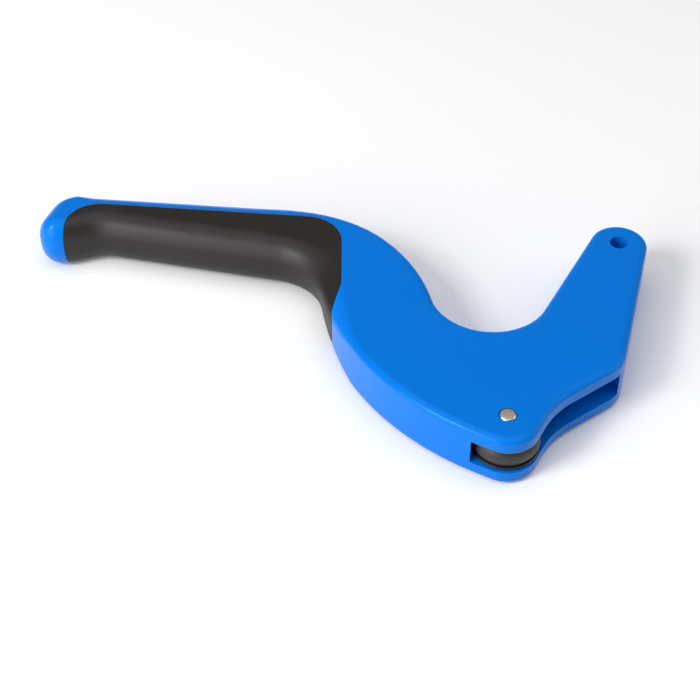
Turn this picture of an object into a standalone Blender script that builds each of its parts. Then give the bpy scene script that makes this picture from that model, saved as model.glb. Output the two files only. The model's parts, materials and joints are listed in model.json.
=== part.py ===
"""A one-hand hooked lever, lying flat: a hollow two-piece plastic body with a
soft grip, a wide U-shaped mouth, an ear with a hanging hole, and a slotted nose
that holds a rubber-tyred roller on a steel pin.

The outline lies in the XY plane, the handle towards -X and the ear towards +X.
Outline sizes are in millimetres, and SCALE turns them into metres.
"""

import math

import bmesh
import bpy
from mathutils import Vector

SCALE = 0.001  # metres in one millimetre of the sizes below

# Overall
THICKNESS = 22.0  # of the flat head and of the handle
HANDLE_LENGTH = 114.6  # from the neck's inner corner to the pommel's far corner
HANDLE_DEPTH = 21.0  # from the palm side to the finger side, beside the pommel
MOUTH_RADIUS = 22.6
EAR_END_RADIUS = 11.1
NOSE_RADIUS = 11.8
PIN_RADIUS = 3.0
HOLE_RADIUS = 3.5
SLOT_HEIGHT = 10.4
SLOT_DEPTH = 17.0  # square to the straight front edge
SLOT_REACH = 9.0  # up the ear from its foot
SLOT_END_WALL = 1.6

# Edge rounding: large on the handle, small on the head. It fades between two X
# positions, which differ between the palm's side and the fingers' side. A reach
# is how far it comes in on the plan, and a round without one reaches its height.
HANDLE_ROUND = 9.6
POMMEL_REACH = 7.2
POMMEL_FADE = (16.0, 26.0)  # from the pommel's far corner
HEAD_ROUND = 2.0
HEAD_REACH = 3.2
PALM_FADE = (-38.1, 14.4)
FINGER_FADE = (-13.4, 1.9)
FADE_SPLIT_Y = 45.0

# Grip
GRIP_DEPTH = 2.0
GRIP_FROM_PALM = 9.1  # blue strip left along the palm side
GRIP_FROM_POMMEL = 16.7  # from the pommel's far corner, at the palm side
GRIP_SLANT = 3.5  # the grip's end leans out by this to its finger side
GRIP_END_X = -3.4  # the grip's edge at the neck
GRIP_TIP_Y = -12.0  # where the grip runs out down the neck

# Shells
WALL = 2.4
SEAM_GAP = 0.3
RIB = 2.0
BOSS_WALL = 2.2
LOCATOR_RADIUS = 1.6
LOCATOR_HEIGHT = 3.0

# Roller
PIN_BACK = 1.3  # the pin sits this far behind the middle of the nose's round
ROLLER_SUNK = 0.7  # behind the nose
ROLLER_ROUND_CLEARANCE = 2.7  # between the roller and the slot's back
WASHER = 0.6
WASHER_RADIUS = 5.6
RIM_GAP = 0.35  # between the roller's rims and the cheeks
FLANGE = 1.1
RIM_CHAMFER = 0.4
FLANGE_DROP = 0.3  # flange radius below the tyre's crown
TYRE_CROWN = 0.9
TYRE_THICKNESS = 3.6
BUSH_WALL = 1.3
PIN_PROUD = 0.35
PIN_RECESS = 0.3
PIN_CHAMFER = 0.4

GAP = 0.3  # between pieces that touch
OVERLAP = 2.0  # cutters run this far past what they cut
NEAREST_POINTS = 0.6  # points of an outline are no nearer to each other

BLUE = (0.0, 0.166, 0.665)
GREY = (0.052, 0.046, 0.046)
DARK = (0.018, 0.018, 0.019)
BRONZE = (0.50, 0.33, 0.16)
NATURAL = (0.62, 0.60, 0.55)
STEEL = (0.46, 0.44, 0.41)

COLLECTION_NAME = "hooked_lever"


# ---------------------------------------------------------------- outline


def tangent_length(before, corner, after, radius):
    """How far from the corner a round of this radius starts."""
    turn = (corner - before).angle(after - corner)
    return radius * math.tan(turn / 2)


def rounded(corners, step_degrees=7.5):
    """The closed path through the corners, each rounded to its radius, and the
    centre of each round. Two rounds that don't fit on their side both shrink."""
    points, centres = [], []
    count = len(corners)
    spots = [Vector((x, y)) for x, y, _ in corners]
    lengths = [(spots[(i + 1) % count] - spots[i]).length for i in range(count)]
    wanted = [
        tangent_length(spots[i - 1], spots[i], spots[(i + 1) % count], corners[i][2])
        for i in range(count)
    ]
    shares = [1.0] * count
    for i, length in enumerate(lengths):
        j = (i + 1) % count
        share = min(1.0, length * 0.999 / max(wanted[i] + wanted[j], 1e-6))
        shares[i] = min(shares[i], share)
        shares[j] = min(shares[j], share)
    for i, (_, _, radius) in enumerate(corners):
        before, corner, after = spots[i - 1], spots[i], spots[(i + 1) % count]
        radius *= shares[i]
        if radius == 0.0:
            points.append(corner)
            centres.append(corner)
            continue
        coming = (corner - before).normalized()
        going = (after - corner).normalized()
        side = 1.0 if coming.cross(going) > 0 else -1.0
        start = corner - coming * wanted[i] * shares[i]
        centre = start + Vector((-coming.y, coming.x)) * side * radius
        centres.append(centre)
        turn = coming.angle(going)
        steps = max(1, math.ceil(math.degrees(turn) / step_degrees))
        arm = start - centre
        for k in range(steps + 1):
            angle = side * turn * k / steps
            cos, sin = math.cos(angle), math.sin(angle)
            turned = Vector((arm.x * cos - arm.y * sin, arm.x * sin + arm.y * cos))
            points.append(centre + turned)
    spaced = []
    for point in points:
        if not spaced or (point - spaced[-1]).length > NEAREST_POINTS:
            spaced.append(point)
    if (spaced[0] - spaced[-1]).length <= NEAREST_POINTS:
        spaced.pop()
    return spaced, centres


def split_long(points, longest=14.0):
    """The same closed path with its long straight stretches divided."""
    divided = []
    for i, point in enumerate(points):
        after = points[(i + 1) % len(points)]
        parts = max(1, math.ceil((after - point).length / longest))
        divided += [point.lerp(after, k / parts) for k in range(parts)]
    return divided


# The ear's end is square to its axis, with a round that fills its width.
EAR_CENTRE = Vector((105.4, 37.76))
EAR_ANGLE = math.radians(68.6)
EAR_AXIS = Vector((math.cos(EAR_ANGLE), math.sin(EAR_ANGLE)))
EAR_SIDE = Vector((-EAR_AXIS.y, EAR_AXIS.x))
EAR_TAPER = math.radians(7.2)  # each side leans out from the axis by this
EAR_HALF_END = EAR_END_RADIUS * math.tan(math.pi / 4 - EAR_TAPER / 2)
EAR_END = EAR_CENTRE + EAR_AXIS * EAR_END_RADIUS

NECK_CORNER = Vector((-13.6, 30.7))
POMMEL_X = NECK_CORNER.x - HANDLE_LENGTH
FINGER_SLOPE = -0.22  # the finger side comes down towards the neck
PALM_SLOPE = -0.097
POMMEL_LIP = 4.1  # how far the pommel hooks past the finger side
LIP_LENGTH = 26.3
LIP_FLAT = 14.0
END_SLANT = 10.0  # the pommel's palm corner stands this far back from the other

HOLLOW = Vector((POMMEL_X + LIP_LENGTH, 0.0))
HOLLOW.y = NECK_CORNER.y + FINGER_SLOPE * (HOLLOW.x - NECK_CORNER.x)


def palm_y(x):
    """The palm side's straight line."""
    return HOLLOW.y + HANDLE_DEPTH + PALM_SLOPE * (x - HOLLOW.x)


BACK_CORNER_X = 18.6
OUTLINE_CORNERS = [
    (POMMEL_X, HOLLOW.y - POMMEL_LIP, 7.5),
    (POMMEL_X + LIP_FLAT, HOLLOW.y - POMMEL_LIP, 9.0),
    (HOLLOW.x, HOLLOW.y, 20.0),
    (NECK_CORNER.x, NECK_CORNER.y, 24.5),
    (-2.6, -38.5, 109.0),
    (60.2, -72.4, NOSE_RADIUS),
    (72.9, -48.5, 36.3),
    (99.6, -29.4, 15.0),
    tuple(EAR_END - EAR_SIDE * EAR_HALF_END) + (EAR_END_RADIUS,),
    tuple(EAR_END + EAR_SIDE * EAR_HALF_END) + (EAR_END_RADIUS,),
    (44.9, -52.6, MOUTH_RADIUS),
    (BACK_CORNER_X, palm_y(BACK_CORNER_X), 72.2),
    (POMMEL_X + END_SLANT, palm_y(POMMEL_X + END_SLANT), 13.4),
]
NOSE, FRONT, EAR_FOOT, MOUTH = 5, 6, 7, 10

OUTLINE, ROUND_CENTRES = rounded(OUTLINE_CORNERS)
OUTLINE = split_long(OUTLINE)
PIN = ROUND_CENTRES[NOSE] + Vector((0.0, PIN_BACK))
MOUTH_CENTRE = ROUND_CENTRES[MOUTH]
ROLLER_RADIUS = NOSE_RADIUS + PIN_BACK - ROLLER_SUNK

# The middle of the whole outline, which becomes the origin.
LEFT = min(p.x for p in OUTLINE)
RIGHT = max(p.x for p in OUTLINE)
FRONT_Y = min(min(p.y for p in OUTLINE), PIN.y - ROLLER_RADIUS)
BACK_Y = max(p.y for p in OUTLINE)
MIDDLE = Vector(((LEFT + RIGHT) / 2, (FRONT_Y + BACK_Y) / 2))
HALF = THICKNESS / 2


def fade(x, start, end):
    """0 up to start, 1 from end on, and a smooth rise between them."""
    t = min(1.0, max(0.0, (x - start) / (end - start)))
    return t * t * (3 - 2 * t)


def edge_round(point):
    """Reach and height of the body's edge rounding at this outline point."""
    start, end = POMMEL_FADE
    along_handle = fade(point.x, POMMEL_X + start, POMMEL_X + end)
    reach = POMMEL_REACH + (HANDLE_ROUND - POMMEL_REACH) * along_handle
    on_head = fade(point.x, *(PALM_FADE if point.y > FADE_SPLIT_Y else FINGER_FADE))
    height = HANDLE_ROUND + (HEAD_ROUND - HANDLE_ROUND) * on_head
    return reach + (HEAD_REACH - reach) * on_head, height


# ---------------------------------------------------------------- helpers


def new_collection(name):
    made = bpy.data.collections.new(name)
    bpy.context.scene.collection.children.link(made)
    return made


def new_material(name, colour, roughness, metallic=0.0):
    material = bpy.data.materials.new(name)
    material.use_nodes = True
    shader = material.node_tree.nodes["Principled BSDF"]
    shader.inputs["Base Color"].default_value = (*colour, 1.0)
    shader.inputs["Roughness"].default_value = roughness
    shader.inputs["Metallic"].default_value = metallic
    material.diffuse_color = (*colour, 1.0)
    return material


def placed(x, y, z):
    """A point of the millimetre frame in metres, with the origin moved."""
    return Vector((x - MIDDLE.x, y - MIDDLE.y, z)) * SCALE


def new_object(name, mesh, collection):
    made = bpy.data.objects.new(name, mesh)
    collection.objects.link(made)
    return made


def mesh_from(bm, name):
    bmesh.ops.recalc_face_normals(bm, faces=bm.faces)
    mesh = bpy.data.meshes.new(name)
    bm.to_mesh(mesh)
    bm.free()
    return mesh


def loft_rings(name, rings, collection):
    """A solid through equal rings of points, closed by flat ends."""
    bm = bmesh.new()
    layers = [[bm.verts.new(placed(*point)) for point in ring] for ring in rings]
    count = len(rings[0])
    for low, high in zip(layers, layers[1:]):
        for i in range(count):
            j = (i + 1) % count
            bm.faces.new((low[i], low[j], high[j], high[i]))
    bm.faces.new(reversed(layers[0]))
    bm.faces.new(layers[-1])
    return new_object(name, mesh_from(bm, name), collection)


def prism(name, path, low, high, collection):
    """A flat outline from one height to another."""
    rings = [[(p.x, p.y, z) for p in path] for z in (low, high)]
    return loft_rings(name, rings, collection)


def inward_normals(path):
    normals = []
    for i, point in enumerate(path):
        along = path[(i + 1) % len(path)] - path[i - 1]
        normals.append(Vector((-along.y, along.x)).normalized())
    return normals


def body_solid(name, inset, collection, round_steps=5):
    """The whole lever's outer form, or that form brought in by inset all over.
    Each ring follows the outline, moved in as the edge rounding asks there."""
    normals = inward_normals(OUTLINE)
    near = []
    for k in range(round_steps + 1):
        angle = math.pi / 2 * k / round_steps
        ring = []
        for point, normal in zip(OUTLINE, normals):
            reach, height = (max(size - inset, 0.3) for size in edge_round(point))
            spot = point + normal * (inset + reach * (1 - math.sin(angle)))
            ring.append((spot.x, spot.y, inset + height * (1 - math.cos(angle))))
        near.append(ring)
    far = [[(x, y, THICKNESS - z) for x, y, z in ring] for ring in reversed(near)]
    return loft_rings(name, near + far, collection)


def cylinder(name, centre, radius, low, high, collection, sides=32):
    bm = bmesh.new()
    bmesh.ops.create_cone(
        bm,
        cap_ends=True,
        segments=sides,
        radius1=radius * SCALE,
        radius2=radius * SCALE,
        depth=(high - low) * SCALE,
    )
    made = new_object(name, mesh_from(bm, name), collection)
    made.location = placed(centre.x, centre.y, (low + high) / 2)
    return made


def cut(target, cutter, operation="DIFFERENCE"):
    modifier = target.modifiers.new(f"{operation.lower()}_{cutter.name}"[:60], "BOOLEAN")
    modifier.operation = operation
    modifier.solver = "EXACT"
    modifier.object = cutter
    return target


def applied(obj):
    """Replaces the object's mesh by the one its modifiers make."""
    bpy.context.view_layer.update()
    graph = bpy.context.evaluated_depsgraph_get()
    mesh = bpy.data.meshes.new_from_object(obj.evaluated_get(graph))
    obj.modifiers.clear()
    obj.data = mesh
    return obj


def finish(obj, material, sharp_degrees=32.0):
    obj.data.materials.clear()
    obj.data.materials.append(material)
    obj.data.shade_smooth()
    obj.data.set_sharp_from_angle(angle=math.radians(sharp_degrees))


def hide_cutters(collection):
    collection.hide_render = True
    for obj in collection.objects:
        obj.hide_render = True
        obj.display_type = "WIRE"


# ---------------------------------------------------------------- regions


def slot_region(grow):
    """The slot's plan, from the nose's left side to the ear's foot. Its end is
    round about the roller, and its far end keeps a wall from the ear's side."""
    clear = ROLLER_RADIUS + ROLLER_ROUND_CLEARANCE + grow
    front = Vector(OUTLINE_CORNERS[FRONT][:2])
    foot = Vector(OUTLINE_CORNERS[EAR_FOOT][:2])
    along = (foot - front).normalized()
    ear_right = (EAR_END - EAR_SIDE * EAR_HALF_END - foot).normalized()
    back = Vector((-along.y, along.x)) * (SLOT_DEPTH + grow)
    inner_end = foot + ear_right * SLOT_REACH + along * grow
    corners = [
        (PIN.x - clear, PIN.y - clear, clear),
        (front.x + 2 * NOSE_RADIUS, PIN.y - clear, 0.0),
        (foot.x + OVERLAP, foot.y - SLOT_REACH, 0.0),
        (foot.x - SLOT_END_WALL + grow, foot.y - OVERLAP, 0.0),
        (inner_end.x - SLOT_END_WALL, inner_end.y, 3.0 + grow),
        (front.x + back.x, front.y + back.y, clear),
        (PIN.x - clear, PIN.y + clear, clear),
    ]
    return rounded(corners, step_degrees=11.25)[0]


def grip_region(grow):
    """The grip's plan. It runs out past the finger side of the body."""
    left = POMMEL_X + GRIP_FROM_POMMEL - grow
    right = GRIP_END_X + grow
    top_left = palm_y(left) - GRIP_FROM_PALM + grow
    top_right = palm_y(right) - GRIP_FROM_PALM + grow
    below = GRIP_TIP_Y - grow
    corners = [
        (left - GRIP_SLANT, HOLLOW.y - 2 * POMMEL_LIP, 0.0),
        (right - 24.0, HOLLOW.y - 12 * POMMEL_LIP, 0.0),
        (right - 3.6, below - 6.0, 0.0),
        (right - 3.6, below + 14.0, 6.0),
        (right, below + 26.0, 6.0),
        (right, top_right, 15.0),
        (left, top_left, 14.0),
    ]
    return rounded(corners, step_degrees=11.25)[0]


# ---------------------------------------------------------------- body


def rib_places():
    """Where the shells' cross ribs stand, as X positions along the handle."""
    first = HOLLOW.x + LIP_FLAT
    last = NECK_CORNER.x
    count = 3
    return [first + (last - first) * k / (count - 1) for k in range(count)]


def locator_places():
    """Where the two shells are pinned to each other."""
    handle_left = Vector((HOLLOW.x - 6.0, (HOLLOW.y + palm_y(HOLLOW.x)) / 2))
    middle_x = (HOLLOW.x + NECK_CORNER.x) / 2
    finger_y = NECK_CORNER.y + FINGER_SLOPE * (middle_x - NECK_CORNER.x)
    handle_middle = Vector((middle_x, (finger_y + palm_y(middle_x)) / 2))
    belly = Vector(((NECK_CORNER.x + PIN.x) / 2 - 4.0, MOUTH_CENTRE.y - MOUTH_RADIUS - 10.0))
    ear = EAR_CENTRE - EAR_AXIS * (2 * EAR_END_RADIUS)
    return [handle_left, handle_middle, belly, ear]


def cavity(cutters):
    """The hollow inside both shells: the body's form brought in, less the slot's
    walls, the ribs and the bosses."""
    inside = body_solid("cavity", GRIP_DEPTH + GAP + WALL, cutters)
    slot_walls = prism("slot_walls", slot_region(WALL), -OVERLAP, THICKNESS + OVERLAP, cutters)
    cut(inside, slot_walls)
    for i, x in enumerate(rib_places()):
        path = [
            Vector((x - RIB / 2, FRONT_Y)),
            Vector((x + RIB / 2, FRONT_Y)),
            Vector((x + RIB / 2, BACK_Y)),
            Vector((x - RIB / 2, BACK_Y)),
        ]
        cut(inside, prism(f"rib_{i}", path, -OVERLAP, THICKNESS + OVERLAP, cutters))
    bosses = [(EAR_CENTRE, HOLE_RADIUS + BOSS_WALL)]
    bosses += [(spot, LOCATOR_RADIUS + GAP + BOSS_WALL) for spot in locator_places()]
    for i, (spot, radius) in enumerate(bosses):
        boss = cylinder(f"boss_{i}", spot, radius, -OVERLAP, THICKNESS + OVERLAP, cutters, 20)
        cut(inside, boss)
    return applied(inside)


def grip_recess(cutters):
    """What the body gives up to the grip: the grip's region, less the handle's
    core below it."""
    recess = prism("grip_recess", grip_region(GAP), -OVERLAP, THICKNESS + OVERLAP, cutters)
    cut(recess, body_solid("grip_core", GRIP_DEPTH + GAP, cutters))
    return applied(recess)


def build_shells(parts, cutters, material):
    slot_low = HALF - SLOT_HEIGHT / 2
    slot = prism("slot", slot_region(0.0), slot_low, slot_low + SLOT_HEIGHT, cutters)
    pin_bore = cylinder(
        "pin_bore", PIN, PIN_RADIUS + GAP, -OVERLAP, THICKNESS + OVERLAP, cutters, 40
    )
    hanging_hole = cylinder(
        "hanging_hole", EAR_CENTRE, HOLE_RADIUS, -OVERLAP, THICKNESS + OVERLAP, cutters, 40
    )
    whole = body_solid("whole_body", 0.0, cutters)
    for cutter in (grip_recess(cutters), cavity(cutters), slot, pin_bore, hanging_hole):
        cut(whole, cutter)
    applied(whole)

    around = [
        Vector((LEFT - OVERLAP, FRONT_Y - OVERLAP)),
        Vector((RIGHT + OVERLAP, FRONT_Y - OVERLAP)),
        Vector((RIGHT + OVERLAP, BACK_Y + OVERLAP)),
        Vector((LEFT - OVERLAP, BACK_Y + OVERLAP)),
    ]
    spans = {
        "body_shell_lower": (-OVERLAP, HALF - SEAM_GAP / 2),
        "body_shell_upper": (HALF + SEAM_GAP / 2, THICKNESS + OVERLAP),
    }
    shells = {}
    for name, (low, high) in spans.items():
        shell = new_object(name, whole.data.copy(), parts)
        cut(shell, prism(f"keep_{name}", around, low, high, cutters), "INTERSECT")
        shells[name] = shell
    for i, spot in enumerate(locator_places()):
        low = HALF - SEAM_GAP / 2 - LOCATOR_HEIGHT
        peg_top = HALF + LOCATOR_HEIGHT
        peg = cylinder(f"peg_{i}", spot, LOCATOR_RADIUS, low, peg_top, cutters, 16)
        cut(shells["body_shell_lower"], peg, "UNION")
        socket_radius = LOCATOR_RADIUS + GAP
        socket = cylinder(
            f"socket_{i}", spot, socket_radius, HALF - OVERLAP, peg_top + GAP, cutters, 16
        )
        cut(shells["body_shell_upper"], socket)
    for shell in shells.values():
        finish(applied(shell), material)


def build_grip(parts, cutters, material):
    grip = body_solid("grip", 0.0, parts)
    region = prism("grip_region", grip_region(0.0), -OVERLAP, THICKNESS + OVERLAP, cutters)
    cut(grip, region, "INTERSECT")
    cut(grip, body_solid("grip_inside", GRIP_DEPTH, cutters))
    finish(applied(grip), material)


# ---------------------------------------------------------------- roller

BUSH_BORE = PIN_RADIUS + GAP
BUSH_OUTSIDE = BUSH_BORE + BUSH_WALL
ROLLER_WIDTH = SLOT_HEIGHT - 2 * (WASHER + 2 * GAP)
ROLLER_LOW = HALF - ROLLER_WIDTH / 2
ROLLER_HIGH = HALF + ROLLER_WIDTH / 2
RIM_HALF = SLOT_HEIGHT / 2 - RIM_GAP


def turned(name, profile, parent, parts, material, steps=48):
    """A ring turned about the pin from (radius, height) corners, which run down
    the outer side and back up the bore."""
    mesh = bpy.data.meshes.new(name)
    points = [(r * SCALE, 0.0, z * SCALE) for r, z in profile]
    count = len(points)
    edges = [(i, i + 1) for i in range(count - 1)]
    if profile[0][0] > 0.0:
        edges.append((count - 1, 0))
    mesh.from_pydata(points, edges, [])
    made = new_object(name, mesh, parts)
    made.parent = parent
    screw = made.modifiers.new("turn", "SCREW")
    screw.steps = screw.render_steps = steps
    screw.use_merge_vertices = True
    screw.merge_threshold = 0.00001
    finish(applied(made), material)
    return made


def build_roller(parts, materials):
    axle = bpy.data.objects.new("roller_axis", None)
    parts.objects.link(axle)
    axle.location = placed(PIN.x, PIN.y, 0.0)

    crown = ROLLER_RADIUS
    flange_radius = crown - FLANGE_DROP
    drum = crown - TYRE_THICKNESS
    bore = BUSH_OUTSIDE + GAP
    top, low = ROLLER_HIGH, ROLLER_LOW
    rim_top, rim_low = HALF + RIM_HALF, HALF - RIM_HALF
    counterbore = WASHER_RADIUS + GAP
    hub = [
        (flange_radius - RIM_CHAMFER, rim_top),
        (flange_radius, rim_top - RIM_CHAMFER),
        (flange_radius, rim_top - FLANGE),
        (drum, rim_top - FLANGE),
        (drum, rim_low + FLANGE),
        (flange_radius, rim_low + FLANGE),
        (flange_radius, rim_low + RIM_CHAMFER),
        (flange_radius - RIM_CHAMFER, rim_low),
        (counterbore, rim_low),
        (counterbore, low),
        (bore, low),
        (bore, top),
        (counterbore, top),
        (counterbore, rim_top),
    ]
    turned("roller_hub", hub, axle, parts, materials["roller"])

    tyre_top = rim_top - FLANGE - GAP
    tyre_half = tyre_top - HALF
    tyre = []
    arc_steps = 8
    for k in range(arc_steps + 1):
        share = 1 - 2 * k / arc_steps
        tyre.append((crown - TYRE_CROWN * share * share, HALF + tyre_half * share))
    tyre += [(drum + GAP, HALF - tyre_half), (drum + GAP, tyre_top)]
    turned("roller_tyre", tyre, axle, parts, materials["tyre"])

    bush = [
        (BUSH_OUTSIDE, top),
        (BUSH_OUTSIDE, low),
        (BUSH_BORE, low),
        (BUSH_BORE, top),
    ]
    turned("roller_bush", bush, axle, parts, materials["bush"], 36)

    cheek_inner = {"upper": top + GAP, "lower": low - GAP - WASHER}
    for side, z in cheek_inner.items():
        washer = [
            (WASHER_RADIUS, z + WASHER),
            (WASHER_RADIUS, z),
            (BUSH_BORE, z),
            (BUSH_BORE, z + WASHER),
        ]
        turned(f"thrust_washer_{side}", washer, axle, parts, materials["washer"], 36)

    pin_top, pin_low = THICKNESS + PIN_PROUD, PIN_RECESS
    pin = [
        (0.0, pin_top),
        (PIN_RADIUS - PIN_CHAMFER, pin_top),
        (PIN_RADIUS, pin_top - PIN_CHAMFER),
        (PIN_RADIUS, pin_low + PIN_CHAMFER),
        (PIN_RADIUS - PIN_CHAMFER, pin_low),
        (0.0, pin_low),
    ]
    turned("axle_pin", pin, axle, parts, materials["pin"], 40)


# ---------------------------------------------------------------- main


def main():
    for obj in list(bpy.data.objects):
        bpy.data.objects.remove(obj, do_unlink=True)
    parts = new_collection(COLLECTION_NAME)
    cutters = new_collection(f"{COLLECTION_NAME}_cutters")
    materials = {
        "body": new_material("blue_plastic", BLUE, 0.38),
        "grip": new_material("soft_grip", GREY, 0.62),
        "roller": new_material("roller_plastic", DARK, 0.45),
        "tyre": new_material("roller_rubber", DARK, 0.6),
        "bush": new_material("bush_bronze", BRONZE, 0.35, 1.0),
        "washer": new_material("washer_nylon", NATURAL, 0.5),
        "pin": new_material("pin_steel", STEEL, 0.32, 1.0),
    }
    build_shells(parts, cutters, materials["body"])
    build_grip(parts, cutters, materials["grip"])
    build_roller(parts, materials)
    hide_cutters(cutters)


main()
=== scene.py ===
"""The looks of a one-hand hooked lever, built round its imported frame.

Each sub-assembly is a class: the body's two blue halves, the soft grip, the
roller with its axle, and the studio that they lie in. Sizes are in millimetres,
in the plan of the lever, whose zero is moved onto the frame's roller axis.
"""

import json
import logging
import math
from collections.abc import Callable, Iterable, Sequence
from dataclasses import dataclass, field
from enum import Enum

import bmesh
import bpy
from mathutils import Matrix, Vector


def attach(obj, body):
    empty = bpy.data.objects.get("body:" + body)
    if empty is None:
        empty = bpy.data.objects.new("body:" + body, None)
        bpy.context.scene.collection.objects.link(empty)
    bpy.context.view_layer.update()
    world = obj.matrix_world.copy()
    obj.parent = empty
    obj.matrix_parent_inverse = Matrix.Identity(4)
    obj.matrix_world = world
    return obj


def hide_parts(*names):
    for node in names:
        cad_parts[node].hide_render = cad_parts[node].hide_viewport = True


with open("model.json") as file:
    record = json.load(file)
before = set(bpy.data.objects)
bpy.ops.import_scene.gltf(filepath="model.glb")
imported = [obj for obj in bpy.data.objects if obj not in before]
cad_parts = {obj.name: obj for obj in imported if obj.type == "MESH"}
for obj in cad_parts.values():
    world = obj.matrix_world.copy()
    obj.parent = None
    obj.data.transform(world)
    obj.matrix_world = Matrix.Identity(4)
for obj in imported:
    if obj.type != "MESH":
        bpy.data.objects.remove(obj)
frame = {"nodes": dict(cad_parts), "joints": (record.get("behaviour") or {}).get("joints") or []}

LOG = logging.getLogger("hooked_lever")
MM = 0.001
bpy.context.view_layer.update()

Corner = tuple[float, float, float]
Colour = tuple[float, float, float]
Ring = list[Vector]


class Rides(Enum):
    """The frame's bodies that pieces ride on."""

    LEVER = "lever"
    ROLLER = "roller"


class Half(Enum):
    """The two halves that the body is moulded in."""

    LOWER = "lower"
    UPPER = "upper"


class Cut(Enum):
    """What a cutter does to the piece that it is used on."""

    AWAY = "DIFFERENCE"
    KEEP = "INTERSECT"


# ------------------------------------------------------------------ shader maths


class Wire:
    """A value in a shader, which can be used in a Python expression."""

    def __init__(self, graph: "Graph", socket: bpy.types.NodeSocket) -> None:
        """Wraps an output socket.

        Args:
            graph: The graph that the socket is in.
            socket: The output socket.
        """
        self.graph = graph
        self.socket = socket

    def _math(self, operation: str, first: object, second: object) -> "Wire":
        """One Math node on two values."""
        made = self.graph.node("ShaderNodeMath", {"operation": operation}, {0: first, 1: second})
        return Wire(self.graph, made.outputs[0])

    def __add__(self, other: object) -> "Wire":
        """self + other."""
        return self._math("ADD", self, other)

    def __mul__(self, other: object) -> "Wire":
        """self * other."""
        return self._math("MULTIPLY", self, other)

    def __pow__(self, other: object) -> "Wire":
        """self ** other."""
        return self._math("POWER", self, other)

    def sine(self) -> "Wire":
        """The sine of the value, in radians."""
        return self._math("SINE", self, 0.0)

    def clamped(self) -> "Wire":
        """The value held between 0 and 1."""
        made = self.graph.node("ShaderNodeClamp", {}, {"Value": self})
        return Wire(self.graph, made.outputs[0])


class Graph:
    """One material's nodes, with the Principled shader that they feed."""

    def __init__(self, name: str) -> None:
        """Starts a material of that name.

        Args:
            name: The material's name.
        """
        self.material = bpy.data.materials.new(name)
        self.material.use_nodes = True
        self.tree = self.material.node_tree
        self.shader = self.tree.nodes["Principled BSDF"]

    def node(
        self, kind: str, settings: dict[str, object], inputs: dict[object, object]
    ) -> bpy.types.Node:
        """Adds a node.

        Args:
            kind: The node's type, such as ShaderNodeTexNoise.
            settings: Its settings, set before its inputs. "stops" is a ramp's.
            inputs: A value, a colour or a Wire for each input, by name or place.

        Returns:
            The node.
        """
        made = self.tree.nodes.new(kind)
        for key, value in settings.items():
            if key == "stops":
                self._set_stops(made, value)
            else:
                setattr(made, key, value)
        for key, value in inputs.items():
            self.feed(made.inputs[key], value)
        return made

    @staticmethod
    def _set_stops(ramp: bpy.types.Node, stops: Sequence[tuple[float, float]]) -> None:
        """Sets a ramp's grey stops from (place, value) pairs."""
        elements = ramp.color_ramp.elements
        while len(elements) < len(stops):
            elements.new(1.0)
        for element, (place, value) in zip(elements, stops):
            element.position = place
            element.color = (value, value, value, 1.0)

    def feed(self, socket: bpy.types.NodeSocket, value: object) -> None:
        """Links a Wire to an input, or sets the input's own value.

        Args:
            socket: The input socket.
            value: A Wire, a number or a colour.
        """
        if isinstance(value, Wire):
            self.tree.links.new(value.socket, socket)
        elif isinstance(value, (tuple, list)) and len(socket.default_value) == 4:
            socket.default_value = (*value[:3], 1.0)
        else:
            socket.default_value = value

    def place(self) -> Wire:
        """The place on the piece, in metres in the piece's own frame."""
        return Wire(self, self.node("ShaderNodeTexCoord", {}, {}).outputs["Object"])

    def part_of(self, vector: Wire, axis: int) -> Wire:
        """One coordinate of a place: 0 for X, 1 for Y, 2 for Z."""
        return Wire(self, self.node("ShaderNodeSeparateXYZ", {}, {0: vector}).outputs[axis])

    def cloud(self, place: Wire, grain: float, detail: float = 2.0, rough: float = 0.5) -> Wire:
        """Soft noise.

        Args:
            place: Where it is read.
            grain: The width of one lump, in millimetres.
            detail: How many finer layers it has.
            rough: How strong the finer layers are.

        Returns:
            The noise, from 0 to 1.
        """
        inputs = {"Vector": place, "Scale": 1.0 / (grain * MM), "Detail": detail}
        inputs["Roughness"] = rough
        made = self.node("ShaderNodeTexNoise", {"noise_dimensions": "3D"}, inputs)
        return Wire(self, made.outputs[0])

    def pits(self, place: Wire, grain: float) -> Wire:
        """Distance to the nearest of many scattered points, in shares of grain."""
        inputs = {"Vector": place, "Scale": 1.0 / (grain * MM)}
        made = self.node("ShaderNodeTexVoronoi", {"feature": "F1"}, inputs)
        return Wire(self, made.outputs["Distance"])

    def mix(self, share: object, first: object, second: object) -> Wire:
        """A colour between two others.

        Args:
            share: 0 for the first, 1 for the second.
            first: A colour or a Wire.
            second: A colour or a Wire.

        Returns:
            The mixed colour.
        """
        made = self.node("ShaderNodeMix", {"data_type": "RGBA"}, {0: share, 6: first, 7: second})
        return Wire(self, made.outputs[2])

    def ramp(self, value: Wire, stops: Sequence[tuple[float, float]]) -> Wire:
        """A value read off a ramp of grey stops."""
        made = self.node("ShaderNodeValToRGB", {"stops": stops}, {0: value})
        return Wire(self, made.outputs[0])

    def relief(self, height: Wire, depth: float) -> Wire:
        """Bump from a height.

        Args:
            height: The height, from 0 to 1.
            depth: What a height of 1 stands for, in millimetres.

        Returns:
            The bent normal.
        """
        made = self.node("ShaderNodeBump", {}, {"Height": height, "Strength": 1.0})
        made.inputs["Distance"].default_value = depth * MM
        return Wire(self, made.outputs[0])

    def finished(self, **sockets: object) -> bpy.types.Material:
        """Feeds the shader and returns the material.

        Args:
            **sockets: Values for the shader's inputs, with _ for each space.

        Returns:
            The material.
        """
        for key, value in sockets.items():
            self.feed(self.shader.inputs[key.replace("_", " ")], value)
        return self.material


# ------------------------------------------------------------------ finishes


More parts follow.
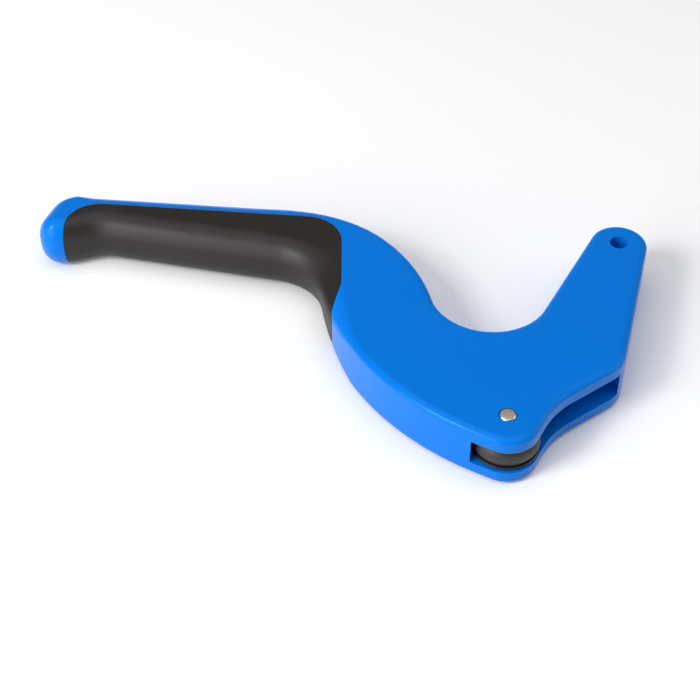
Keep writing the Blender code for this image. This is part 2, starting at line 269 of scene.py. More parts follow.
@dataclass(frozen=True)
class MouldedPlastic:
    """Satin moulded plastic with a fine spark-eroded grain."""

    colour: Colour
    shade: Colour
    shine: Colour = (1.0, 1.0, 1.0)
    roughness: float = 0.38
    gloss: float = 0.3
    grain: float = 0.55
    grain_depth: float = 0.006
    sink_width: float = 26.0

    def material(self, name: str) -> bpy.types.Material:
        """Makes the material.

        Args:
            name: Its name.

        Returns:
            The material.
        """
        graph = Graph(name)
        place = graph.place()
        broad = graph.cloud(place, self.sink_width, 2.0)
        fine = graph.cloud(place, self.grain, 3.0, 0.6)
        speck = graph.ramp(graph.cloud(place, 3.0, 4.0, 0.7), [(0.60, 0.0), (0.72, 1.0)])
        tint = graph.mix((broad * 0.5 + fine * 0.5).clamped(), self.shade, self.colour)
        tint = graph.mix(speck * 0.06, tint, self.shade)
        height = fine * 0.7 + graph.pits(place, self.grain * 1.6) * 0.3
        return graph.finished(
            Base_Color=tint,
            Roughness=fine * 0.10 + broad * 0.05 + (self.roughness - 0.075),
            Specular_IOR_Level=self.gloss,
            Specular_Tint=self.shine,
            Normal=graph.relief(height, self.grain_depth),
        )


@dataclass(frozen=True)
class SoftElastomer:
    """Matt soft-touch elastomer with a leathery grain and a little dust."""

    colour: Colour
    worn: Colour
    roughness: float = 0.44
    gloss: float = 0.36
    grain: float = 0.8
    grain_depth: float = 0.03

    def material(self, name: str) -> bpy.types.Material:
        """Makes the material.

        Args:
            name: Its name.

        Returns:
            The material.
        """
        graph = Graph(name)
        place = graph.place()
        pebbles = graph.pits(place, self.grain)
        fine = graph.cloud(place, self.grain * 0.45, 3.0, 0.65)
        broad = graph.cloud(place, 18.0, 3.0)
        worn = graph.ramp(broad * 0.6 + fine * 0.4, [(0.44, 0.0), (0.66, 1.0)])
        return graph.finished(
            Base_Color=graph.mix(worn, self.colour, self.worn),
            Roughness=fine * 0.16 + pebbles * 0.08 + (self.roughness - 0.12),
            Specular_IOR_Level=self.gloss,
            Normal=graph.relief(pebbles * 0.45 + fine * 0.55, self.grain_depth),
        )


@dataclass(frozen=True)
class TyreRubber:
    """Dark rubber with moulding rings round the axis and a light bloom."""

    colour: Colour
    bloom: Colour
    roughness: float = 0.46
    gloss: float = 0.5
    ring_pitch: float = 0.7
    ring_depth: float = 0.006

    def material(self, name: str) -> bpy.types.Material:
        """Makes the material.

        Args:
            name: Its name.

        Returns:
            The material.
        """
        graph = Graph(name)
        place = graph.place()
        fine = graph.cloud(place, 0.35, 3.0, 0.6)
        streak = graph.cloud(place, 5.0, 4.0, 0.65)
        turns = graph.part_of(place, 2) * (2 * math.pi / (self.ring_pitch * MM))
        rings = turns.sine() * 0.5 + 0.5
        dust = graph.ramp(streak * 0.7 + fine * 0.3, [(0.45, 0.0), (0.75, 1.0)])
        return graph.finished(
            Base_Color=graph.mix(dust * 0.7, self.colour, self.bloom),
            Roughness=fine * 0.14 + dust * 0.12 + (self.roughness - 0.1),
            Specular_IOR_Level=self.gloss,
            Normal=graph.relief(fine * 0.8 + rings * 0.2, self.ring_depth),
        )


@dataclass(frozen=True)
class TurnedMetal:
    """Metal faced off in a lathe: fine rings about its own Z axis."""

    colour: Colour
    stain: Colour
    roughness: float = 0.36
    ring_pitch: float = 0.16
    ring_depth: float = 0.004

    def material(self, name: str) -> bpy.types.Material:
        """Makes the material.

        Args:
            name: Its name.

        Returns:
            The material.
        """
        graph = Graph(name)
        place = graph.place()
        across, back = graph.part_of(place, 0), graph.part_of(place, 1)
        radius = (across * across + back * back) ** 0.5
        wobble = graph.cloud(place, 0.9, 3.0, 0.6)
        turns = radius * (2 * math.pi / (self.ring_pitch * MM)) + wobble * 2.0
        rings = turns.sine() * 0.5 + 0.5
        mottle = graph.ramp(graph.cloud(place, 1.3, 4.0, 0.7), [(0.38, 0.0), (0.68, 1.0)])
        return graph.finished(
            Base_Color=graph.mix(mottle * 0.8, self.colour, self.stain),
            Metallic=1.0,
            Roughness=mottle * 0.16 + rings * 0.06 + (self.roughness - 0.1),
            Normal=graph.relief(rings * 0.5 + wobble * 0.5, self.ring_depth),
        )


@dataclass(frozen=True)
class PaperFloor:
    """A pale seamless sheet."""

    colour: Colour
    fibre: Colour

    def material(self, name: str) -> bpy.types.Material:
        """Makes the material.

        Args:
            name: Its name.

        Returns:
            The material.
        """
        graph = Graph(name)
        place = graph.place()
        fibres = graph.cloud(place, 2.5, 5.0, 0.7)
        return graph.finished(
            Base_Color=graph.mix(fibres, self.colour, self.fibre),
            Roughness=fibres * 0.1 + 0.8,
            Specular_IOR_Level=0.1,
        )


BLUE = MouldedPlastic(
    colour=(0.0, 0.162, 0.640),
    shade=(0.0, 0.153, 0.610),
    shine=(0.25, 0.65, 1.0),
    roughness=0.25,
    gloss=0.3,
)
GRIP = SoftElastomer(colour=(0.013, 0.0108, 0.0098), worn=(0.018, 0.0155, 0.0145))
ROLLER_BLACK = MouldedPlastic(
    colour=(0.017, 0.014, 0.013), shade=(0.012, 0.010, 0.009), roughness=0.40, gloss=0.4
)
TYRE = TyreRubber(colour=(0.022, 0.018, 0.016), bloom=(0.045, 0.038, 0.034))
PIN_STEEL = TurnedMetal(colour=(0.84, 0.77, 0.70), stain=(0.62, 0.56, 0.50))
BRONZE = TurnedMetal(colour=(0.50, 0.33, 0.16), stain=(0.36, 0.22, 0.10), ring_pitch=0.3)
NYLON = MouldedPlastic(colour=(0.62, 0.60, 0.55), shade=(0.55, 0.53, 0.48), roughness=0.5)
PAPER = PaperFloor(colour=(0.945, 0.945, 0.95), fibre=(0.93, 0.93, 0.94))


# ------------------------------------------------------------------ shapes


@dataclass(frozen=True)
class Outline:
    """A closed flat path through corners, each with its own radius."""

    corners: tuple[Corner, ...]
    step_degrees: float = 4.0
    nearest: float = 0.3

    def _rounds(self) -> list[tuple[Vector, Vector, float, float]]:
        """Each corner's round as (start, centre, signed turn, radius)."""
        spots = [Vector(corner[:2]) for corner in self.corners]
        count = len(spots)
        sides = [spots[(i + 1) % count] - spots[i] for i in range(count)]
        turns = [sides[i - 1].angle_signed(sides[i]) * -1.0 for i in range(count)]
        reach = [
            corner[2] * math.tan(abs(turn) / 2) for corner, turn in zip(self.corners, turns)
        ]
        shares = [1.0] * count
        for i, side in enumerate(sides):
            j = (i + 1) % count
            share = min(1.0, side.length * 0.999 / max(reach[i] + reach[j], 1e-6))
            shares[i] = min(shares[i], share)
            shares[j] = min(shares[j], share)
        rounds = []
        for i, turn in enumerate(turns):
            coming = sides[i - 1].normalized()
            radius = self.corners[i][2] * shares[i]
            start = spots[i] - coming * reach[i] * shares[i]
            inward = Vector((-coming.y, coming.x)) * math.copysign(radius, turn)
            rounds.append((start, start + inward, turn, radius))
        return rounds

    def centre(self, corner: int) -> Vector:
        """The middle of one corner's round."""
        return self._rounds()[corner][1]

    def points(self, longest: float = 1000.0) -> Ring:
        """The path's points.

        Args:
            longest: The longest stretch without a point, in millimetres.

        Returns:
            The points in order.
        """
        path: Ring = []
        for start, centre, turn, radius in self._rounds():
            steps = max(1, math.ceil(math.degrees(abs(turn)) / self.step_degrees))
            arm = start - centre
            for k in range(steps + 1 if radius > 0.0 else 1):
                angle = turn * k / steps
                cos, sin = math.cos(angle), math.sin(angle)
                spot = centre + Vector((arm.x * cos - arm.y * sin, arm.x * sin + arm.y * cos))
                if not path or (spot - path[-1]).length > self.nearest:
                    path.append(spot)
        if (path[0] - path[-1]).length <= self.nearest:
            path.pop()
        divided: Ring = []
        for i, spot in enumerate(path):
            after = path[(i + 1) % len(path)]
            parts = max(1, math.ceil((after - spot).length / longest))
            divided += [spot.lerp(after, k / parts) for k in range(parts)]
        return divided


def inward_normals(path: Ring) -> Ring:
    """The inward direction at each point of a path that runs anticlockwise.

    Args:
        path: The closed path.

    Returns:
        One unit vector for each point.
    """
    normals = []
    for i in range(len(path)):
        along = path[(i + 1) % len(path)] - path[i - 1]
        normals.append(Vector((-along.y, along.x)).normalized())
    return normals


class Workshop:
    """Makes, cuts and finishes meshes. It knows where the plan's zero lies."""

    def __init__(self, zero: Vector) -> None:
        """Sets the plan's zero.

        Args:
            zero: The plan's zero in the frame, in metres.
        """
        self.zero = zero
        self.helpers: list[bpy.types.Object] = []

    def spot(self, x: float, y: float, z: float) -> Vector:
        """A point of the plan in the frame, in metres."""
        return self.zero + Vector((x, y, z)) * MM

    def object_from(self, name: str, bm: bmesh.types.BMesh) -> bpy.types.Object:
        """Turns a bmesh into a linked object.

        Args:
            name: The object's name.
            bm: The mesh, which is freed.

        Returns:
            The object.
        """
        bmesh.ops.recalc_face_normals(bm, faces=bm.faces)
        mesh = bpy.data.meshes.new(name)
        bm.to_mesh(mesh)
        bm.free()
        made = bpy.data.objects.new(name, mesh)
        bpy.context.scene.collection.objects.link(made)
        return made

    def loft(self, name: str, rings: Sequence[Sequence[Vector]]) -> bpy.types.Object:
        """A closed solid through rings of equal counts.

        Args:
            name: The object's name.
            rings: Rings of plan points, each (x, y, z) in millimetres.

        Returns:
            The object.
        """
        bm = bmesh.new()
        layers = [[bm.verts.new(self.spot(*point)) for point in ring] for ring in rings]
        count = len(rings[0])
        for low, high in zip(layers, layers[1:]):
            for i in range(count):
                j = (i + 1) % count
                bm.faces.new((low[i], low[j], high[j], high[i]))
        bm.faces.new(list(reversed(layers[0])))
        bm.faces.new(layers[-1])
        return self.object_from(name, bm)

    def prism(self, name: str, path: Ring, low: float, high: float) -> bpy.types.Object:
        """A flat outline from one height to another, as a helper."""
        rings = [[Vector((p.x, p.y, z)) for p in path] for z in (low, high)]
        made = self.loft(name, rings)
        self.helpers.append(made)
        return made

    def turned(
        self, name: str, profile: Outline, centre: Vector, steps: int = 128
    ) -> bpy.types.Object:
        """A ring or a rod turned about an upright axis.

        Args:
            name: The object's name.
            profile: Its section, as (radius, height) corners.
            centre: The axis, as a plan point.
            steps: The number of steps round it.

        Returns:
            The object, with its origin on the axis.
        """
        bm = bmesh.new()
        section = profile.points()
        columns = []
        for k in range(steps):
            angle = 2 * math.pi * k / steps
            cos, sin = math.cos(angle) * MM, math.sin(angle) * MM
            columns.append([bm.verts.new((p.x * cos, p.x * sin, p.y * MM)) for p in section])
        for k in range(steps):
            here, there = columns[k], columns[(k + 1) % steps]
            for i in range(len(section)):
                j = (i + 1) % len(section)
                bm.faces.new((here[i], here[j], there[j], there[i]))
        bmesh.ops.remove_doubles(bm, verts=bm.verts, dist=1e-6)
        made = self.object_from(name, bm)
        made.location = self.spot(centre.x, centre.y, 0.0)
        return made

    def rod(self, name: str, centre: Vector, radius: float, reach: float) -> bpy.types.Object:
        """A round cutter through the whole thickness."""
        steps = 96
        angles = [2 * math.pi * k / steps for k in range(steps)]
        ring = [centre + Vector((math.cos(a), math.sin(a))) * radius for a in angles]
        return self.prism(name, ring, -reach, reach * 2)

    def cut(self, piece: bpy.types.Object, tool: bpy.types.Object, how: Cut = Cut.AWAY) -> None:
        """Cuts a piece and applies the cut.

        Args:
            piece: The piece that is cut.
            tool: What it is cut with.
            how: Whether the tool's inside is taken away or kept.
        """
        modifier = piece.modifiers.new("cut", "BOOLEAN")
        modifier.operation = how.value
        modifier.solver = "EXACT"
        modifier.object = tool
        self.apply(piece)

    @staticmethod
    def apply(piece: bpy.types.Object) -> None:
        """Replaces a piece's mesh by what its modifiers make."""
        bpy.context.view_layer.update()
        graph = bpy.context.evaluated_depsgraph_get()
        mesh = bpy.data.meshes.new_from_object(piece.evaluated_get(graph))
        piece.modifiers.clear()
        piece.data = mesh

    def ease_edges(
        self,
        piece: bpy.types.Object,
        width: float,
        share_of: Callable[[Vector, Vector], float],
        least_degrees: float = 38.0,
        segments: int = 3,
    ) -> None:
        """Rounds the cut edges of a piece.

        Args:
            piece: The piece.
            width: The rounding's width, in millimetres.
            share_of: The share of that width for an edge between two plan points.
            least_degrees: Edges flatter than this are left.
            segments: The rounding's steps.
        """
        bm = bmesh.new()
        bm.from_mesh(piece.data)
        bmesh.ops.remove_doubles(bm, verts=bm.verts, dist=2e-6)
        bmesh.ops.dissolve_degenerate(bm, edges=bm.edges, dist=2e-6)
        layer = bm.edges.layers.float.new("bevel_weight_edge")
        for edge in bm.edges:
            if len(edge.link_faces) != 2:
                continue
            if math.degrees(edge.calc_face_angle(0.0)) > least_degrees:
                ends = [(v.co - self.zero) / MM for v in edge.verts]
                edge[layer] = share_of(*ends)
        bm.to_mesh(piece.data)
        bm.free()
        bevel = piece.modifiers.new("eased", "BEVEL")
        bevel.limit_method = "WEIGHT"
        bevel.width = width * MM
        bevel.segments = segments
        bevel.harden_normals = False
        self.apply(piece)

    @staticmethod
    def smooth(piece: bpy.types.Object, sharp_degrees: float = 40.0) -> None:
        """Smooth shading, led by the large flat faces."""
        piece.data.shade_smooth()
        piece.data.set_sharp_from_angle(angle=math.radians(sharp_degrees))
        weighted = piece.modifiers.new("weighted", "WEIGHTED_NORMAL")
        weighted.keep_sharp = True
        weighted.weight = 80

    def clear(self) -> None:
        """Removes the helpers."""
        for helper in self.helpers:
            bpy.data.objects.remove(helper, do_unlink=True)
        self.helpers.clear()


def dress(
    piece: bpy.types.Object,
    material: bpy.types.Material,
    body: Rides,
    nodes: Iterable[str],
) -> None:
    """Gives a finished piece its material, its body and the nodes it stands for.

    Args:
        piece: The piece.
        material: Its material.
        body: The frame's body that it rides on.
        nodes: The frame's nodes that it replaces.
    """
    piece.data.materials.clear()
    piece.data.materials.append(material)
    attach(piece, body.value)
    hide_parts(*nodes)
    LOG.info("%s: %d faces, rides on %s", piece.name, len(piece.data.polygons), body.value)


# ------------------------------------------------------------------ plan


@dataclass(frozen=True)
class LeverPlan:
    """The lever's driving sizes and the outlines that follow from them."""

    thickness: float = 22.0
    handle_length: float = 114.6
    handle_depth: float = 21.0
    mouth_radius: float = 22.6
    ear_end_radius: float = 11.1
    nose_radius: float = 11.8
    pin_radius: float = 3.0
    hole_radius: float = 3.5
    slot_height: float = 10.4
    slot_depth: float = 17.0
    slot_reach: float = 9.0
    slot_end_wall: float = 1.6
    handle_round: float = 9.6
    pommel_reach: float = 7.2
    pommel_fade: tuple[float, float] = (16.0, 26.0)
    head_round: float = 2.0
    head_reach: float = 3.2
    palm_fade: tuple[float, float] = (-38.1, 14.4)
    finger_fade: tuple[float, float] = (-13.4, 1.9)
    fade_split_y: float = 45.0
    grip_depth: float = 2.0
    grip_from_palm: float = 9.1
    grip_from_pommel: float = 16.7
    grip_slant: float = 3.5
    grip_end_x: float = -3.4
    grip_tip_y: float = -12.0
    grip_tip_inset: float = 3.6
    grip_tip_straight: float = 14.0
    grip_tip_slope: float = 12.0
    grip_tip_round: float = 6.0
    grip_end_round: float = 15.0
    grip_start_round: float = 14.0
    pin_back: float = 1.3
    roller_sunk: float = 0.7
    roller_round_clearance: float = 2.7
    neck: Vector = field(default_factory=lambda: Vector((-13.6, 30.7)))
    ear_centre: Vector = field(default_factory=lambda: Vector((105.4, 37.76)))
    ear_degrees: float = 68.6
    ear_taper_degrees: float = 7.2
    finger_slope: float = -0.22
    palm_slope: float = -0.097
    pommel_lip: float = 4.1
    lip_length: float = 26.3
    lip_flat: float = 14.0
    end_slant: float = 10.0
    back_corner_x: float = 18.6
    overlap: float = 2.0

    NOSE = 5
    FRONT = 6
    EAR_FOOT = 7

    @property
    def half(self) -> float:
        """Half of the thickness, where the seam is."""
        return self.thickness / 2

    @property
    def pommel_x(self) -> float:
        """The pommel's end."""
        return self.neck.x - self.handle_length

    @property
    def hollow(self) -> Vector:
        """The corner where the finger side meets the pommel's lip."""
        x = self.pommel_x + self.lip_length
        return Vector((x, self.neck.y + self.finger_slope * (x - self.neck.x)))

    def palm_y(self, x: float) -> float:
        """The palm side's straight line."""
        return self.hollow.y + self.handle_depth + self.palm_slope * (x - self.hollow.x)

    def _ear_side(self) -> tuple[Vector, Vector, Vector]:
        """The ear's axis, its sideways direction and the middle of its end."""
        angle = math.radians(self.ear_degrees)
        axis = Vector((math.cos(angle), math.sin(angle)))
        return axis, Vector((-axis.y, axis.x)), self.ear_centre + axis * self.ear_end_radius

    def _ear_corners(self) -> tuple[Vector, Vector]:
        """The right and left corners of the ear's end."""
        _, side, end = self._ear_side()
        taper = math.radians(self.ear_taper_degrees)
        half_end = self.ear_end_radius * math.tan(math.pi / 4 - taper / 2)
        return end - side * half_end, end + side * half_end

    def outline(self) -> Outline:
        """The whole lever's outline, anticlockwise from the pommel's lip."""
        lip_y = self.hollow.y - self.pommel_lip
        ear_right, ear_left = self._ear_corners()
        palm_end = self.pommel_x + self.end_slant
        return Outline(
            (
                (self.pommel_x, lip_y, 7.5),
                (self.pommel_x + self.lip_flat, lip_y, 9.0),
                (self.hollow.x, self.hollow.y, 20.0),
                (self.neck.x, self.neck.y, 24.5),
                (-2.6, -38.5, 109.0),
                (60.2, -72.4, self.nose_radius),
                (72.9, -48.5, 36.3),
                (99.6, -29.4, 15.0),
                (ear_right.x, ear_right.y, self.ear_end_radius),
                (ear_left.x, ear_left.y, self.ear_end_radius),
                (44.9, -52.6, self.mouth_radius),
                (self.back_corner_x, self.palm_y(self.back_corner_x), 72.2),
                (palm_end, self.palm_y(palm_end), 13.4),
            ),
            nearest=0.6,
        )

    @property
    def pin(self) -> Vector:
        """The roller pin's axis."""
        return self.outline().centre(self.NOSE) + Vector((0.0, self.pin_back))

    @property
    def roller_radius(self) -> float:
        """The roller's radius at its crown."""
        return self.nose_radius + self.pin_back - self.roller_sunk

    @staticmethod
    def _fade(x: float, start: float, end: float) -> float:
        """0 up to start, 1 from end on, and a smooth rise between them."""
        t = min(1.0, max(0.0, (x - start) / (end - start)))
        return t * t * (3 - 2 * t)

    def edge_round(self, point: Vector) -> tuple[float, float]:
        """Reach in plan and height of the edge rounding at an outline point."""
        start, end = self.pommel_fade
        along = self._fade(point.x, self.pommel_x + start, self.pommel_x + end)
        reach = self.pommel_reach + (self.handle_round - self.pommel_reach) * along
        span = self.palm_fade if point.y > self.fade_split_y else self.finger_fade
        on_head = self._fade(point.x, *span)
        height = self.handle_round + (self.head_round - self.handle_round) * on_head
        return reach + (self.head_reach - reach) * on_head, height

    def body_rings(self, inset: float, steps: int) -> list[Ring]:
        """Rings of the body's outer form, brought in by inset all over.

        Args:
            inset: How far it is brought in.
            steps: Steps in the edge's round.

        Returns:
            The rings, from the underside to the top.
        """
        path = self.outline().points(longest=3.0)
        normals = inward_normals(path)
        rounds = [[max(s - inset, 0.3) for s in self.edge_round(point)] for point in path]
        near: list[Ring] = []
        for k in range(steps + 1):
            angle = math.pi / 2 * k / steps
            ring: Ring = []
            for point, normal, (reach, height) in zip(path, normals, rounds):
                spot = point + normal * (inset + reach * (1 - math.sin(angle)))
                ring.append(Vector((*spot, inset + height * (1 - math.cos(angle)))))
            near.append(ring)
        far = [[Vector((p.x, p.y, self.thickness - p.z)) for p in ring] for ring in near]
        return near + far[::-1]

    def slot_outline(self) -> Outline:
        """The slot between the cheeks, from the nose's left to the ear's foot."""
        corners = self.outline().corners
        front, foot = Vector(corners[self.FRONT][:2]), Vector(corners[self.EAR_FOOT][:2])
        along = (foot - front).normalized()
        ear_right = (self._ear_corners()[0] - foot).normalized()
        back = Vector((-along.y, along.x)) * self.slot_depth
        inner = foot + ear_right * self.slot_reach
        clear = self.roller_radius + self.roller_round_clearance
        pin = self.pin
        return Outline(
            (
                (pin.x - clear, pin.y - clear, clear),
                (front.x + 2 * self.nose_radius, pin.y - clear, 0.0),
                (foot.x + self.overlap, foot.y - self.slot_reach, 0.0),
                (foot.x - self.slot_end_wall, foot.y - self.overlap, 0.0),
                (inner.x - self.slot_end_wall, inner.y, 3.0),
                (front.x + back.x, front.y + back.y, clear),
                (pin.x - clear, pin.y + clear, clear),
            )
        )

    def grip_outline(self, grow: float) -> Outline:
        """The grip's edge in plan, grown all round."""
        left = self.pommel_x + self.grip_from_pommel - grow
        right = self.grip_end_x + grow
        below = self.grip_tip_y - grow
        bend_y = below + self.grip_tip_straight
        tip_x, tip_round = right - self.grip_tip_inset, self.grip_tip_round
        strip = self.grip_from_palm - grow
        hollow_y, lip = self.hollow.y, self.pommel_lip
        return Outline(
            (
                (left - self.grip_slant, hollow_y - 2 * lip, 0.0),
                (right - 24.0, hollow_y - 12 * lip, 0.0),
                (tip_x, below - tip_round, 0.0),
                (tip_x, bend_y, tip_round),
                (right, bend_y + self.grip_tip_slope, tip_round),
                (right, self.palm_y(right) - strip, self.grip_end_round),
                (left, self.palm_y(left) - strip, self.grip_start_round),
            )
        )


# ------------------------------------------------------------------ body


@dataclass
class LeverBody:
    """The blue body: two halves that meet at mid-thickness."""

    plan: LeverPlan
    shop: Workshop
    round_steps: int = 12
    seam_gap: float = 0.03
    edge_ease: float = 0.35
    seam_share: float = 0.35
    bore_clearance: float = 0.3
    recess_clearance: float = 0.12
    cutter_reach: float = 30.0
    block_half: float = 200.0
    pieces: list[bpy.types.Object] = field(default_factory=list)

    def whole(self, name: str, inset: float = 0.0) -> bpy.types.Object:
        """The body's outer form as one solid."""
        return self.shop.loft(name, self.plan.body_rings(inset, self.round_steps))

    def grip_recess(self) -> bpy.types.Object:
        """What the handle gives up to the grip."""
        plan, shop = self.plan, self.shop
        path = plan.grip_outline(self.recess_clearance).points()
        recess = shop.prism("recess", path, -plan.overlap, plan.thickness + plan.overlap)
        core = self.whole("core", plan.grip_depth + self.recess_clearance)
        shop.helpers.append(core)
        shop.cut(recess, core)
        return recess

    def _share(self, first: Vector, second: Vector) -> float:
        """How much of the easing an edge takes: little along the seam."""
        near = max(abs(first.z - self.plan.half), abs(second.z - self.plan.half))
        return self.seam_share if near < 0.1 else 1.0

    def build(self) -> list[bpy.types.Object]:
        """Builds both halves.

        Returns:
            The lower and the upper half.
        """
        plan, shop = self.plan, self.shop
        low = plan.half - plan.slot_height / 2
        through = self.cutter_reach
        tools = [
            self.grip_recess(),
            shop.prism("slot", plan.slot_outline().points(), low, low + plan.slot_height),
            shop.rod("pin_bore", plan.pin, plan.pin_radius + self.bore_clearance, through),
            shop.rod("hanging_hole", plan.ear_centre, plan.hole_radius, through),
        ]
        far = self.block_half
        block = Outline(((-far, -far, 0), (far, -far, 0), (far, far, 0), (-far, far, 0)))
        gap = self.seam_gap / 2
        spans = {
            Half.LOWER: (-through, plan.half - gap),
            Half.UPPER: (plan.half + gap, 2 * through),
        }
        for half, (bottom, top) in spans.items():
            piece = self.whole(f"body_half_{half.value}")
            keep = shop.prism("keep", block.points(), bottom, top)
            shop.cut(piece, keep, Cut.KEEP)
            for tool in tools:
                shop.cut(piece, tool)
            shop.ease_edges(piece, self.edge_ease, self._share)
            shop.smooth(piece)
            self.pieces.append(piece)
        return self.pieces

    def dress(self, finish: MouldedPlastic) -> None:
        """Gives both halves the blue plastic."""
        material = finish.material("blue_moulded_plastic")
        for piece, node in zip(self.pieces, ("body_shell_lower", "body_shell_upper")):
            dress(piece, material, Rides.LEVER, [node])


@dataclass
class SoftGrip:
    """The grip moulded round the finger side of the handle."""

    plan: LeverPlan
    shop: Workshop
    body: LeverBody
    edge_ease: float = 0.6
    piece: bpy.types.Object | None = None

    def build(self) -> bpy.types.Object:
        """Builds the grip.

        Returns:
            The grip.
        """
        plan, shop = self.plan, self.shop
        grip = self.body.whole("soft_grip")
        path = plan.grip_outline(0.0).points()
        region = shop.prism("region", path, -plan.overlap, plan.thickness + plan.overlap)
        inside = self.body.whole("inside", plan.grip_depth)
        shop.helpers.append(inside)
        shop.cut(grip, region, Cut.KEEP)
        shop.cut(grip, inside)
        shop.ease_edges(grip, self.edge_ease, lambda first, second: 1.0, segments=4)
        shop.smooth(grip)
        self.piece = grip
        return grip

    def dress(self, finish: SoftElastomer) -> None:
        """Gives the grip its soft elastomer."""
        dress(self.piece, finish.material("soft_elastomer"), Rides.LEVER, ["grip"])


# ------------------------------------------------------------------ roller


@dataclass
class RollerSet:
    """The roller between the cheeks, and the pin that it turns on."""

    plan: LeverPlan
    shop: Workshop
    side_gap: float = 0.35
    web_gap: float = 1.2
    counterbore: float = 5.9
    flange: float = 1.2
    flange_drop: float = 0.25
    tyre_crown: float = 1.3
    tyre_thickness: float = 3.6
    tyre_gap: float = 0.15
    bush_outside: float = 4.6
    bush_gap: float = 0.3
    pin_proud: float = 0.35
    pin_recess: float = 0.3
    pin_chamfer: float = 0.45
    pieces: dict[str, bpy.types.Object] = field(default_factory=dict)

    def hub_profile(self) -> Outline:
        """The hub: two flanges, each counterbored for a washer, and the drum between."""
        plan = self.plan
        half = plan.slot_height / 2 - self.side_gap
        low, top = plan.half - half, plan.half + half
        rim = plan.roller_radius - self.flange_drop
        drum = plan.roller_radius - self.tyre_thickness
        bore = self.bush_outside + self.bush_gap
        step = self.web_gap - self.side_gap
        return Outline(
            (
                (bore, low + step, 0.15),
                (self.counterbore, low + step, 0.0),
                (self.counterbore, low, 0.15),
                (rim, low, 0.45),
                (rim, low + self.flange, 0.25),
                (drum, low + self.flange, 0.0),
                (drum, top - self.flange, 0.0),
                (rim, top - self.flange, 0.25),
                (rim, top, 0.45),
                (self.counterbore, top, 0.15),
                (self.counterbore, top - step, 0.0),
                (bore, top - step, 0.15),
            ),
            step_degrees=15.0,
            nearest=0.02,
        )

    def tyre_profile(self) -> Outline:
        """The tyre: a crown between the flanges with a small round at each side."""
        plan = self.plan
        half = plan.slot_height / 2 - self.side_gap - self.flange - self.tyre_gap
        crown = plan.roller_radius
        drum = crown - self.tyre_thickness + self.tyre_gap
        steps = 12
        arc: list[Corner] = []
        for k in range(steps + 1):
            share = 2 * k / steps - 1
            drop = self.tyre_crown * abs(share) ** 2.2
            arc.append((crown - drop, plan.half + half * share, 0.12))
        return Outline(
            ((drum, plan.half - half, 0.0), *arc, (drum, plan.half + half, 0.0)),
            step_degrees=20.0,
            nearest=0.02,
        )

    def pin_profile(self) -> Outline:
        """The pin, with a rounded chamfer at both ends."""
        plan = self.plan
        low, top = self.pin_recess, plan.thickness + self.pin_proud
        radius, chamfer = plan.pin_radius, self.pin_chamfer
        return Outline(
            (
                (0.0, low, 0.0),
                (radius - chamfer, low, 0.25),
                (radius, low + chamfer, 0.25),
                (radius, top - chamfer, 0.25),
                (radius - chamfer, top, 0.25),
                (0.0, top, 0.0),
            ),
            step_degrees=12.0,
            nearest=0.02,
        )

    def build(self) -> dict[str, bpy.types.Object]:
        """Builds the hub, the tyre and the pin.

        Returns:
            The pieces by name.
        """
        profiles = {
            "hub": self.hub_profile(),
            "tyre": self.tyre_profile(),
            "pin": self.pin_profile(),
        }
        for name, profile in profiles.items():
            piece = self.shop.turned(f"roller_{name}_turned", profile, self.plan.pin)
            piece.data.shade_smooth()
            piece.data.set_sharp_from_angle(angle=math.radians(38.0))
            self.pieces[name] = piece
        return self.pieces

    def dress(self) -> None:
        """Gives the roller, the pin and the small inner nodes their finishes."""
        hub = ROLLER_BLACK.material("black_moulded_plastic")
        dress(self.pieces["hub"], hub, Rides.ROLLER, ["roller_hub"])
        tyre = TYRE.material("tyre_rubber")
        dress(self.pieces["tyre"], tyre, Rides.ROLLER, ["roller_tyre"])
        pin = PIN_STEEL.material("faced_steel")
        dress(self.pieces["pin"], pin, Rides.LEVER, ["axle_pin"])
        bronze, nylon = BRONZE.material("sintered_bronze"), NYLON.material("natural_nylon")
        kept = {
            "roller_bush": bronze,
            "thrust_washer_upper": nylon,
            "thrust_washer_lower": nylon,
        }
        for name, material in kept.items():
            node = frame["nodes"][name]
            node.data.materials.clear()
            node.data.materials.append(material)
            LOG.info("%s keeps its node's shape", name)


# ------------------------------------------------------------------ studio


@dataclass(frozen=True)
class Softbox:
    """A square area light that looks at the lever.

    Its level is the share of full white that it gives a white card facing it.
    """

    name: str
    azimuth: float
    elevation: float
    distance: float
    side: float
    level: float
    colour: Colour = (1.0, 1.0, 1.0)

    def place(self, target: Vector) -> None:
        """Adds the light.

        Args:
            target: The point that it looks at, in metres.
        """
        data = bpy.data.lights.new(self.name, "AREA")
        data.shape = "SQUARE"
        data.size = self.side
        data.energy = self.level * (math.pi * self.distance) ** 2
        data.color = self.colour
        light = bpy.data.objects.new(self.name, data)
        bpy.context.scene.collection.objects.link(light)
        across, up = math.radians(self.azimuth), math.radians(self.elevation)
        away = Vector(
            (math.sin(across) * math.cos(up), -math.cos(across) * math.cos(up), math.sin(up))
        )
        light.location = target + away * self.distance
        light.rotation_euler = (-away).to_track_quat("-Z", "Y").to_euler()


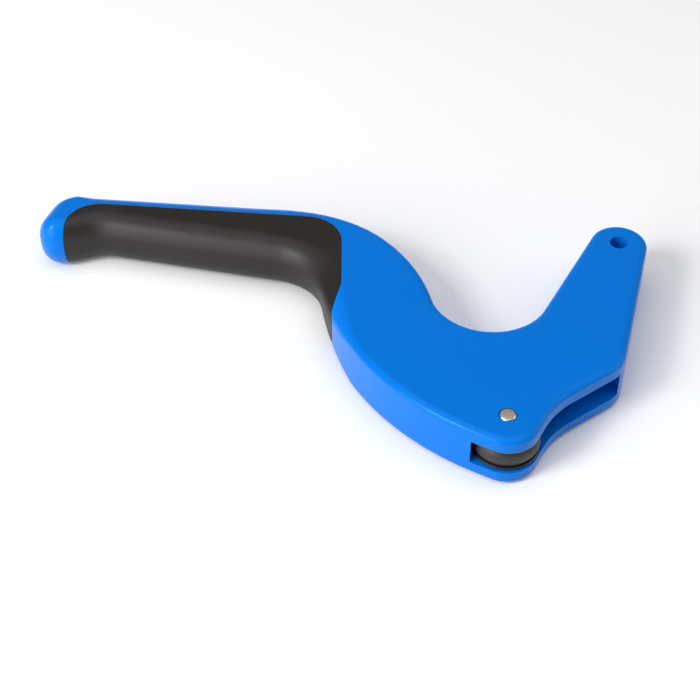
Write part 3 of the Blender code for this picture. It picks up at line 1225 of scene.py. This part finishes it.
@dataclass
class Studio:
    """The pale floor, the lights, the surroundings and the camera."""

    target: Vector
    camera_elevation: float = 44.3
    camera_distance: float = 0.6154
    lens: float = 82.286
    floor_half: float = 3.0
    floor_gap: float = 0.0002
    sky: float = 0.22
    boxes: tuple[Softbox, ...] = (
        Softbox("key_box", -58.0, 42.0, 1.3, 0.36, 0.50),
        Softbox("low_box", -50.0, 12.0, 1.3, 1.2, 0.95),
        Softbox("top_box", 0.0, 88.0, 1.6, 1.8, 0.50),
        Softbox("right_box", 100.0, 28.0, 1.3, 0.9, 0.16),
    )

    def floor(self) -> bpy.types.Object:
        """The floor, a wide flat grid just below the lever."""
        bm = bmesh.new()
        bmesh.ops.create_grid(bm, x_segments=8, y_segments=8, size=self.floor_half)
        for vert in bm.verts:
            vert.co.z = -self.floor_gap
        mesh = bpy.data.meshes.new("paper_floor")
        bm.to_mesh(mesh)
        bm.free()
        floor = bpy.data.objects.new("paper_floor", mesh)
        bpy.context.scene.collection.objects.link(floor)
        mesh.materials.append(PAPER.material("pale_paper"))
        return floor

    def camera(self) -> bpy.types.Object:
        """The camera, level across and looking down at the lever."""
        data = bpy.data.cameras.new("camera")
        data.lens = self.lens
        data.sensor_width = 36.0
        camera = bpy.data.objects.new("camera", data)
        bpy.context.scene.collection.objects.link(camera)
        up = math.radians(self.camera_elevation)
        back = Vector((0.0, -math.cos(up), math.sin(up)))
        camera.location = self.target + back * self.camera_distance
        camera.rotation_euler = (math.pi / 2 - up, 0.0, 0.0)
        bpy.context.scene.camera = camera
        return camera

    def build(self) -> None:
        """Builds the floor, the surroundings, the lights and the camera."""
        scene = bpy.context.scene
        scene.view_settings.view_transform = "Standard"
        world = bpy.data.worlds.new("surroundings")
        world.use_nodes = True
        world.node_tree.nodes["Background"].inputs["Color"].default_value = (1.0, 1.0, 1.0, 1.0)
        world.node_tree.nodes["Background"].inputs["Strength"].default_value = self.sky
        scene.world = world
        self.floor()
        self.camera()
        for box in self.boxes:
            box.place(self.target)
        LOG.info("studio: %d lights", len(self.boxes))


# ------------------------------------------------------------------ main


def plan_zero(plan: LeverPlan) -> Vector:
    """Where the plan's zero lies in the frame, from the roller's joint.

    Args:
        plan: The lever's plan.

    Returns:
        The zero, in metres.
    """
    axis = Vector(frame["joints"][0]["pos_m"])
    return Vector((axis.x - plan.pin.x * MM, axis.y - plan.pin.y * MM, 0.0))


def main() -> None:
    """Builds the lever and its studio, in order."""
    logging.basicConfig(level=logging.INFO, format="%(name)s: %(message)s")
    plan = LeverPlan()
    shop = Workshop(plan_zero(plan))
    body = LeverBody(plan, shop)
    body.build()
    body.dress(BLUE)
    grip = SoftGrip(plan, shop, body)
    grip.build()
    grip.dress(GRIP)
    roller = RollerSet(plan, shop)
    roller.build()
    roller.dress()
    shop.clear()
    Studio(target=shop.zero).build()


if __name__ == "__main__":
    main()
